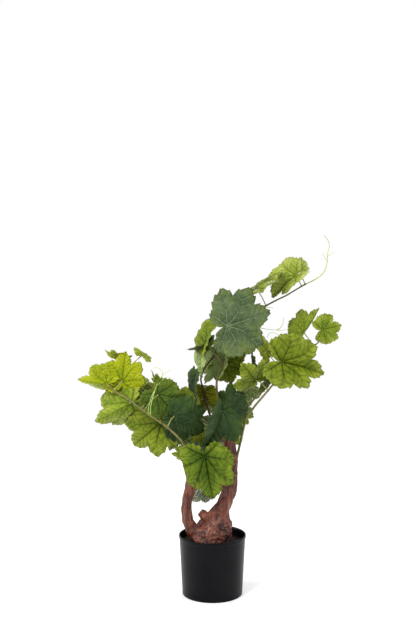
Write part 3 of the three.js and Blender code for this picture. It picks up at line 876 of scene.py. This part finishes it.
def leaf_stalks():
    """The stalks of the whole crown, thicker at both ends and on larger leaves."""
    soup = Soup()
    for cane, start, end, leaves in MASSES.values():
        for k, leaf in enumerate(leaves):
            line = stalk_line(leaf, cane, start, end)
            share = np.linspace(0, 1, len(line))
            foot = 0.55 * np.exp(-((share / 0.09) ** 2))
            head = 0.25 * np.exp(-(((1 - share) / 0.08) ** 2))
            radii = (0.95 + foot + head) * (0.85 + 0.3 * leaf[6] / 86)
            soup.add(*tube(line, radii, 8, 0.12, k), 0)
    return soup.build("leaf_stalks", [STALK])


stalk_piece = leaf_stalks()
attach(stalk_piece, "root")


def cane_radii(name, share, line):
    """A cane's taper, swollen where its stalks spring."""
    thick, taper = BRANCH_TAPER if name in BRANCHES else CANE_TAPER
    radii = thick - taper * share
    for cane, start, end, leaves in MASSES.values():
        for leaf in leaves if cane == name else []:
            root = spring(cane, start, end, np.array(leaf[:3]))
            gap = np.linalg.norm(line - root, axis=1)
            radii = radii + JOINT_SWELLING * np.exp(-((gap / JOINT_REACH) ** 2)) * radii / CANE_TAPER[0]
    return radii


def canes_skin():
    """All the canes; the inner ones and the foot of the centre one are dark."""
    soup = Soup()
    for name, path in PATHS.items():
        if name == "tendril":
            continue
        share = np.linspace(0, 1, max(8, int(path.length / CANE_STEP)))
        line = path.at(share)
        verts, faces = tube(line, cane_radii(name, share, line), 12, 0.16, len(name))
        low = verts[[f[0] for f in faces]][:, 2] < DARK_BELOW
        dark = low if name == "centre" else [name in DARK_CANES] * len(faces)
        soup.add(verts, faces, [int(d) for d in dark])
    return soup.build("canes_skin", [CANE, CANE_DARK])


cane_piece = canes_skin()
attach(cane_piece, "root")


def curl(start, way, length, turns, radius):
    """A tendril that runs out, then winds up on itself."""
    way = np.array(way, float)
    way /= np.linalg.norm(way)
    side = np.cross(way, [0.2, 0.9, 0.3])
    side /= np.linalg.norm(side)
    up = np.cross(side, way)
    points = []
    for t in np.linspace(0, 1, 60):
        wind = max(0.0, (t - 0.35) / 0.65)
        a = wind * turns * 2 * math.pi
        r = radius * wind * (1.15 - 0.6 * wind)
        ahead = length * (t if t < 0.35 else 0.35 + 0.5 * (t - 0.35))
        sag = np.array([0, 0, -0.12 * length * t * t])
        wound = side * r * math.sin(a) + up * r * (1 - math.cos(a))
        points.append(np.array(start) + way * ahead + wound + sag)
    return np.array(points)


# the tendrils that show in front, root to tip
HOOKS = [
    [
        (-118, -63, 359), (-120, -58, 368), (-115, -48, 389), (-107, -45, 406), (-100, -45, 416),
        (-93, -45, 424), (-85, -44, 428), (-79, -42, 425),
    ],
    [
        (-116, -63, 358), (-115, -57, 376), (-108, -48, 404), (-99, -45, 424), (-91, -45, 434),
        (-83, -43, 438), (-78, -40, 443),
    ],
    [
        (-100, -45, 416), (-95, -43, 428), (-94, -43, 435), (-97, -42, 441), (-103, -41, 445),
        (-110, -40, 446),
    ],
    [
        (24, 3, 460), (40, -4, 500), (65, -8, 518), (83, -4, 518), (111, 2, 514), (133, 4, 512),
        (142, 6, 514),
    ],
    [(124, 3, 513), (131, 4, 517), (136, 4, 527), (137, 4, 538)],
    [
        (150, 4, 444), (140, 0, 478), (132, -12, 494), (128, -12, 502), (121, -12, 508),
        (114, -10, 509), (108, -8, 506), (105, -6, 499),
    ],
    [(80, 13, 540), (90, 14, 547), (98, 14, 553), (107, 14, 556), (118, 16, 554)],
    [(224, 22, 655), (231, 20, 661), (236, 19, 661)],
    [(224, 23, 645), (219, 22, 650), (215, 22, 656), (213, 24, 662)],
    [(14, -8, 226), (13, -11, 214), (8, -12, 199), (4, -12, 185), (2, -12, 174)],
]


def all_tendrils():
    """The long top tendril, the ones in front and, on the right and behind, seeded curls."""
    soup = Soup()
    line = PATHS["tendril"].at(np.linspace(0, 1, 70))
    soup.add(*tube(line, np.linspace(*TOP_TENDRIL, len(line)), 8, 0.1, 3), 0)
    for path in HOOKS:
        line = smooth_line(path, 8)
        soup.add(*tube(line, np.linspace(*HOOK, len(line)), 6), 0)
    rng = random.Random(11)
    for name in ("back", "back_left", "back_right", "right"):
        for _ in range(2):
            start = PATHS[name].at(rng.uniform(0.3, 0.9))
            way = (rng.uniform(-0.6, 0.6), rng.uniform(0.2, 1.0), rng.uniform(-0.3, 0.9))
            line = curl(start, way, rng.uniform(24, 42), rng.uniform(1, 2.2), rng.uniform(3, 6))
            soup.add(*tube(line, np.linspace(*CURL, len(line)), 6), 0)
    return soup.build("tendrils", [TENDRIL])


tendril_piece = all_tendrils()
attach(tendril_piece, "root")


# ---- the stump

STUMP_NODES = ["trunk", "left_bough", "right_bough", "middle_stub", "fork_stub"]
# in metres
STUMP_VOXEL = 0.0013
STUMP_SMOOTHING = 14
# heights: the bark is flat below the first, darkened with painted shade from the filling up to the second,
# the pot's rim, finer above the third
BARK_STARTS = 104
RIM_SHADE_UP_TO = 116
LIMBS_START = 285
# cut ends: place and direction
CUTS = [
    ((-38, -2, 216), (0.35, 0, 0.95)),
    ((29, 0, 305), (-0.2, 0, 1)),
    ((-24, -6, 161), (-0.75, -0.05, 0.66)),
    ((23, -7, 215), (-0.35, -0.1, 0.9)),
]
# where the stump is knobbly: centre and reach
BURLS = [
    ((34, -24, 128), 30),
    ((10, -36, 118), 22),
    ((34, -8, 232), 20),
    ((-22, -28, 122), 15),
    ((40, 20, 130), 30),
]


def unit(value):
    """A value kept between 0 and 1."""
    return max(0.0, min(1.0, value))


def burl_share(p):
    """How knobbly the bark is at a place, 0 to 1."""
    return max(unit(1.6 * (1 - (p - Vector(centre)).length / reach)) for centre, reach in BURLS)


def bark_at(p):
    """The bark at a place: broad lumps, relief from grain and knobs, and how knobbly it is."""
    bend = noise.noise_vector(p * 0.03) * 4
    lump = noise.fractal((p + bend) * 0.05, 0.9, 2.0, 3)
    strand = noise.noise(Vector((p.x * 0.26, p.y * 0.26, p.z * 0.035)) + bend * 0.06)
    thread = noise.noise(Vector((p.x * 0.6, p.y * 0.6, p.z * 0.07)) + bend * 0.1)
    burl = burl_share(p)
    near = noise.voronoi(p * 0.19 + bend * 0.12)[0][0]
    knob = math.sqrt(max(0.0, 1 - (near / 0.62) ** 2))
    grain = 0.62 * (1 - 2.4 * abs(strand)) + 0.25 * thread
    return lump, (1 - burl) * grain + burl * (1.15 * knob - 0.35), burl


def cut_at(p, normal):
    """On a cut end, how near a place is to its rim and how deep it lies in the hollow of its middle."""
    cut = hollow = 0.0
    for place, way in CUTS:
        way = Vector(way).normalized()
        gap = (p - Vector(place)).dot(way)
        reach = (p - Vector(place) - way * gap).length
        if abs(gap) < 5 and reach < 18 and normal.dot(way) > 0.55:
            cut = min(1.0, 0.5 + reach / 12)
            hollow = max(0.0, 1 - reach / 7)
    return cut, hollow


def joined_stump():
    """One smooth skin over copies of the CAD trunk, boughs and stubs."""
    bodies = []
    for name in STUMP_NODES:
        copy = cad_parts[name].copy()
        copy.data = copy.data.copy()
        copy.parent = None
        copy.matrix_world = Matrix.Identity(4)
        bpy.context.collection.objects.link(copy)
        bodies.append(copy)
    bpy.ops.object.select_all(action="DESELECT")
    for b in bodies:
        b.select_set(True)
    bpy.context.view_layer.objects.active = bodies[0]
    bpy.ops.object.join()
    body = bpy.context.view_layer.objects.active
    body.name = "stump_bark_skin"
    body.data.materials.clear()
    remesh = body.modifiers.new("remesh", "REMESH")
    remesh.mode = "VOXEL"
    remesh.voxel_size = STUMP_VOXEL
    ease = body.modifiers.new("ease", "SMOOTH")
    ease.iterations = STUMP_SMOOTHING
    ease.factor = 0.5
    depsgraph = bpy.context.evaluated_depsgraph_get()
    mesh = bpy.data.meshes.new_from_object(body.evaluated_get(depsgraph))
    body.modifiers.clear()
    body.data = mesh
    return body


def carve(mesh):
    """Moves the stump's skin in and out by its bark, and keeps what the bark's material needs."""
    count = len(mesh.vertices)
    places = np.empty(count * 3)
    normals = np.empty(count * 3)
    mesh.vertices.foreach_get("co", places)
    mesh.vertex_normals.foreach_get("vector", normals)
    places, normals = places.reshape(-1, 3) / MM, normals.reshape(-1, 3)
    marks = np.zeros((count, 3))
    moved = places.copy()
    for i in range(count):
        p = Vector(places[i])
        lump, relief, burl = bark_at(p)
        cut, hollow = cut_at(p, Vector(normals[i]))
        amount = (1.3 * lump + (1.4 + burl) * relief) * (1 - 0.8 * cut) - 2.2 * hollow
        if p.z > LIMBS_START:
            amount *= 0.6
        moved[i] += normals[i] * amount * (0.15 if p.z < BARK_STARTS else 1)
        # painted shade: the bark darkens from the pot's rim down to the filling, and its burls lose their
        # warm tone there
        rim_shade = unit((RIM_SHADE_UP_TO - p.z) / 14)
        # the tone rises and falls with the relief, so the grooves get painted shade and the ridges a
        # painted highlight
        level = 0.44 + 0.42 * relief + 0.2 * lump - 0.3 * rim_shade - 0.08 * burl
        marks[i] = (unit(level), cut, burl * (1 - 0.6 * rim_shade))
    moved[:, 2] = np.maximum(moved[:, 2], places[:, 2].min())
    mesh.vertices.foreach_set("co", (moved * MM).ravel())
    layer = mesh.attributes.new("bark", "FLOAT_VECTOR", "POINT")
    layer.data.foreach_set("vector", marks.ravel().astype(np.float32))


def stump():
    """The gnarled stump with its boughs and stubs, as one piece."""
    body = joined_stump()
    mesh = body.data
    carve(mesh)
    mesh.materials.clear()
    mesh.materials.append(BARK)
    mesh.polygons.foreach_set("use_smooth", [True] * len(mesh.polygons))
    mesh.update()
    return body


stump_piece = stump()
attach(stump_piece, "root")
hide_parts(*STUMP_NODES)


# ---- pot and filler

POT_SIDES = 128
POT_CORNERS = 1.0
# the pot's section as radius and height, from the middle of its underside round to the middle of its floor
POT_SECTION = [
    (0, 0.8), (48, 0.8), (50, 0), (58.2, 0), (58.5, 6), (63.9, 109.4), (64.6, 110.0), (65, 111),
    (65, 115.0), (64.4, 116), (63.4, 116), (62.2, 113), (61.8, 108), (56.4, 3.2), (0, 3.2),
]
FILLER_LEVEL = 101.0
FILLER_RADIUS = 61.2
FILLER_SIDES = 120
FILLER_RINGS = 46
# the plain cast body below the filling's top: radius and height
FILLER_BODY = ((61.0, 96), (56, 4))


def circle(radius, height, sides):
    """Points around the Z axis."""
    turns = [2 * math.pi * j / sides for j in range(sides)]
    return [(radius * math.cos(a), radius * math.sin(a), height) for a in turns]


def turned(name, verts, sides, material, downward=False):
    """A closed body of rings of vertices, upward or downward, between two vertices on the axis."""
    faces = []
    last = len(verts) - 1
    for j in range(sides):
        k = (j + 1) % sides
        faces.append([0, 1 + k, 1 + j])
        faces.append([last, last - sides + j, last - sides + k])
        for a in range(1, last - sides, sides):
            faces.append([a + j, a + k, a + sides + k, a + sides + j])
    if downward:
        faces = [[f[0], *f[:0:-1]] for f in faces]
    soup = Soup()
    soup.add(verts, faces, 0)
    return soup.build(name, [material])


def rounded(points, radius, steps=4):
    """Rounds the corners of a profile."""
    out = [points[0]]
    for a, b, c in zip(points[:-2], points[1:-1], points[2:]):
        a, b, c = (np.array(q, float) for q in (a, b, c))
        r = min(radius, 0.45 * np.linalg.norm(b - a), 0.45 * np.linalg.norm(c - b))
        p = b + (a - b) / np.linalg.norm(a - b) * r
        q = b + (c - b) / np.linalg.norm(c - b) * r
        for t in np.linspace(0, 1, steps):
            out.append(tuple((1 - t) ** 2 * p + 2 * t * (1 - t) * b + t * t * q))
    out.append(points[-1])
    return out


def pot():
    """The pot, turned in one piece."""
    section = rounded(POT_SECTION, POT_CORNERS)
    verts = [(0, 0, section[0][1])]
    for radius, height in section[1:-1]:
        verts += circle(radius, height, POT_SIDES)
    verts.append((0, 0, section[-1][1]))
    return turned("pot_skin", verts, POT_SIDES, POT)


pot_piece = pot()
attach(pot_piece, "root")
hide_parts("pot")


def filler_rise(x, y):
    """How far the filling's crumbly top stands above its level."""
    rise = noise.fractal(Vector((x, y, 0)) * 0.12, 0.8, 2.0, 4) * 1.1
    return rise + noise.noise(Vector((x, y, 5)) * 0.6) * 0.6


def crumbs():
    """The filling's uneven top and its plain cast body."""
    verts = [(0, 0, FILLER_LEVEL + 0.2)]
    for i in range(1, FILLER_RINGS + 1):
        ring = circle(FILLER_RADIUS * i / FILLER_RINGS, FILLER_LEVEL, FILLER_SIDES)
        verts += [(x, y, level + filler_rise(x, y)) for x, y, level in ring]
    for radius, height in FILLER_BODY:
        verts += circle(radius, height, FILLER_SIDES)
    verts.append((0, 0, FILLER_BODY[-1][1]))
    return turned("filler_top", verts, FILLER_SIDES, FILLER, downward=True)


filler_piece = crumbs()
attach(filler_piece, "root")
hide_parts("pot_filler")


# ---- which CAD solids these stand for

for mass, piece in made.items():
    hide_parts(mass)
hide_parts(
    "left_cane", "right_cane", "centre_cane", "inner_cane", "back_cane", "back_left_cane"
)
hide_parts("top_tendril")


# ---- floor


def floor_disc():
    """The ground, a plain disc just under the pot."""
    mesh = bpy.data.meshes.new("floor")
    mesh.from_pydata(circle(FLOOR_RADIUS, FLOOR_LEVEL, FLOOR_SIDES), [], [list(range(FLOOR_SIDES))])
    mesh.materials.append(floor_material())
    disc = bpy.data.objects.new("floor", mesh)
    bpy.context.collection.objects.link(disc)
    return disc


floor = floor_disc()
